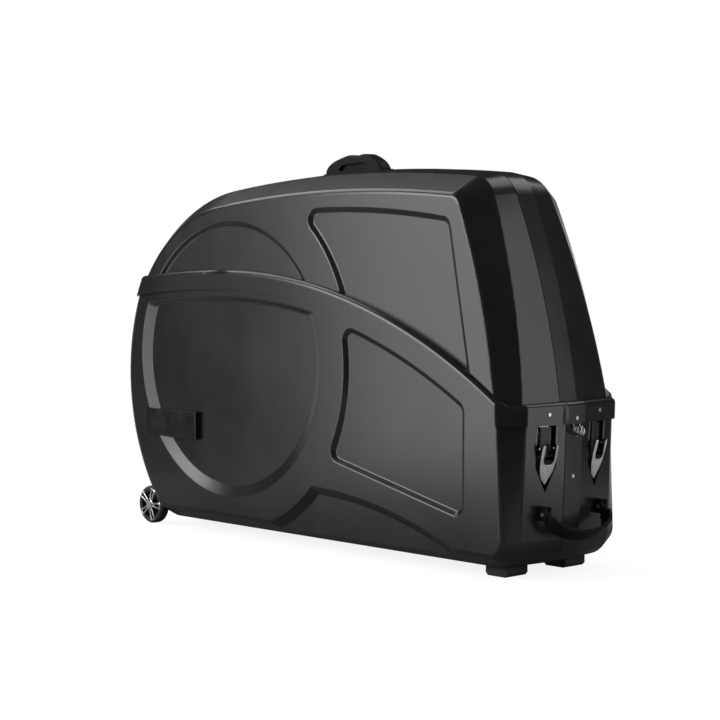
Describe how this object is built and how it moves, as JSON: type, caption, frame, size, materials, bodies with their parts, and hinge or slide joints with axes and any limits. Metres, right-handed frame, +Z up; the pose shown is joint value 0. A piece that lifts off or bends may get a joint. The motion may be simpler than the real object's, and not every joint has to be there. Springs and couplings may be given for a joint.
{
  "type": "bike travel case",
  "caption": "Hard-shell bike travel case: lift-off lid over a wheeled tub, draw latches on both ends, tow and top handles, carrier rail with fork mount inside.",
  "frame": {"origin": "middle of the box around the whole case, on the ground", "axes": "+X towards the latch and tow handle end, +Y towards the side away from the pictured one, +Z up"},
  "size_m": [1.3552, 0.364, 0.878],
  "materials": {
    "shell": "satin, fine grain",
    "lining": "matt",
    "gasket": "matt",
    "steel": "satin",
    "chrome": "bright",
    "grip": "satin",
    "tyre": "matt",
    "rubber": "matt",
    "badge": "gloss, bare",
    "alloy": "anodised"
  },
  "bodies": {
    "tub": {"badge_plate_left": "badge", "badge_plate_right": "badge", "base_rail": "alloy", "bottom_bracket_cradle": "grip", "bracket_rivets": "steel", "foot_screws": "steel", "fork_mount": "alloy", "fork_skewer": "steel", "latch_base_front_left": "steel", "latch_base_front_right": "steel", "latch_base_rear_left": "steel", "latch_base_rear_right": "steel", "latch_pivot_pins": "steel", "padlock_eye_lower": "chrome", "rail_screws": "steel", "rest_foot_left": "rubber", "rest_foot_right": "rubber", "rim_gasket": "gasket", "skewer_nut": "steel", "tow_handle_pins": "steel", "tow_mount_left": "grip", "tow_mount_right": "grip", "tub_joint_strip": "lining", "tub_left_shell": "shell", "tub_right_shell": "shell", "tub_seam_rivets": "steel", "wheel_axle_left": "chrome", "wheel_axle_right": "chrome", "wheel_bracket_left": "chrome", "wheel_bracket_right": "chrome"},
    "lid": {"lid_right_shell": "shell", "lid_left_shell": "shell", "lid_joint_strip": "lining", "latch_keepers": "steel", "keeper_rivets": "steel", "padlock_eye_upper": "chrome", "padlock_eye_rivet": "steel", "top_handle_base": "grip", "top_handle_grip": "grip", "top_handle_screws": "steel"},
    "lever_front_right": {"latch_lever_front_right": "chrome", "lever_insert_front_right": "grip"},
    "hook_front_right": {"draw_hook_front_right": "chrome"},
    "lever_front_left": {"latch_lever_front_left": "chrome", "lever_insert_front_left": "grip"},
    "hook_front_left": {"draw_hook_front_left": "chrome"},
    "lever_rear_right": {"latch_lever_rear_right": "chrome", "lever_insert_rear_right": "grip"},
    "hook_rear_right": {"draw_hook_rear_right": "chrome"},
    "lever_rear_left": {"latch_lever_rear_left": "chrome", "lever_insert_rear_left": "grip"},
    "hook_rear_left": {"draw_hook_rear_left": "chrome"},
    "wheel_right": {"wheel_tyre_right": "tyre", "wheel_hub_right": "chrome"},
    "wheel_left": {"wheel_tyre_left": "tyre", "wheel_hub_left": "chrome"},
    "tow_handle": {"tow_handle_strap": "grip"},
    "skewer_lever": {"skewer_lever": "steel"}
  },
  "joints": [
    {"name": "lid_lift", "type": "slide", "parent": "tub", "child": "lid", "axis": [0, 0, 1], "range_m": [0, 0.6]},
    {"name": "lever_front_right_turn", "type": "hinge", "parent": "tub", "child": "lever_front_right", "pos_m": [0.617, -0.07768, 0.26807], "axis": [-0.1174, -0.9931, 0], "range_deg": [0, 100]},
    {"name": "hook_front_right_turn", "type": "hinge", "parent": "lever_front_right", "child": "hook_front_right", "pos_m": [0.61369, -0.07729, 0.25218], "axis": [-0.1174, -0.9931, 0], "range_deg": [-110, 0]},
    {"name": "lever_front_left_turn", "type": "hinge", "parent": "tub", "child": "lever_front_left", "pos_m": [0.617, 0.07768, 0.26807], "axis": [0.1174, -0.9931, 0], "range_deg": [0, 100]},
    {"name": "hook_front_left_turn", "type": "hinge", "parent": "lever_front_left", "child": "hook_front_left", "pos_m": [0.61369, 0.07729, 0.25218], "axis": [0.1174, -0.9931, 0], "range_deg": [-110, 0]},
    {"name": "lever_rear_right_turn", "type": "hinge", "parent": "tub", "child": "lever_rear_right", "pos_m": [-0.65306, -0.07922, 0.49133], "axis": [-0.1174, 0.9931, 0], "range_deg": [0, 100]},
    {"name": "hook_rear_right_turn", "type": "hinge", "parent": "lever_rear_right", "child": "hook_rear_right", "pos_m": [-0.65425, -0.07936, 0.47513], "axis": [-0.1174, 0.9931, 0], "range_deg": [-110, 0]},
    {"name": "lever_rear_left_turn", "type": "hinge", "parent": "tub", "child": "lever_rear_left", "pos_m": [-0.65306, 0.07922, 0.49133], "axis": [0.1174, 0.9931, 0], "range_deg": [0, 100]},
    {"name": "hook_rear_left_turn", "type": "hinge", "parent": "lever_rear_left", "child": "hook_rear_left", "pos_m": [-0.65425, 0.07936, 0.47513], "axis": [0.1174, 0.9931, 0], "range_deg": [-110, 0]},
    {"name": "wheel_right_spin", "type": "hinge", "parent": "tub", "child": "wheel_right", "pos_m": [-0.57065, -0.154, 0.045], "axis": [0, 1, 0], "continuous": true},
    {"name": "wheel_left_spin", "type": "hinge", "parent": "tub", "child": "wheel_left", "pos_m": [-0.57065, 0.154, 0.045], "axis": [0, 1, 0], "continuous": true},
    {"name": "tow_handle_swing", "type": "hinge", "parent": "tub", "child": "tow_handle", "pos_m": [0.62495, 0, 0.136], "axis": [0, 1, 0], "range_deg": [-118, 27]},
    {"name": "skewer_lever_turn", "type": "hinge", "parent": "tub", "child": "skewer_lever", "pos_m": [0.36885, -0.0727, 0.1465], "axis": [1, 0, 0], "range_deg": [0, 150]}
  ],
  "couplings": [
    {"joint": "hook_front_right_turn", "follows": "lever_front_right_turn", "ratio": -1.08},
    {"joint": "hook_front_left_turn", "follows": "lever_front_left_turn", "ratio": -1.08},
    {"joint": "hook_rear_right_turn", "follows": "lever_rear_right_turn", "ratio": -1.08},
    {"joint": "hook_rear_left_turn", "follows": "lever_rear_left_turn", "ratio": -1.08}
  ]
}
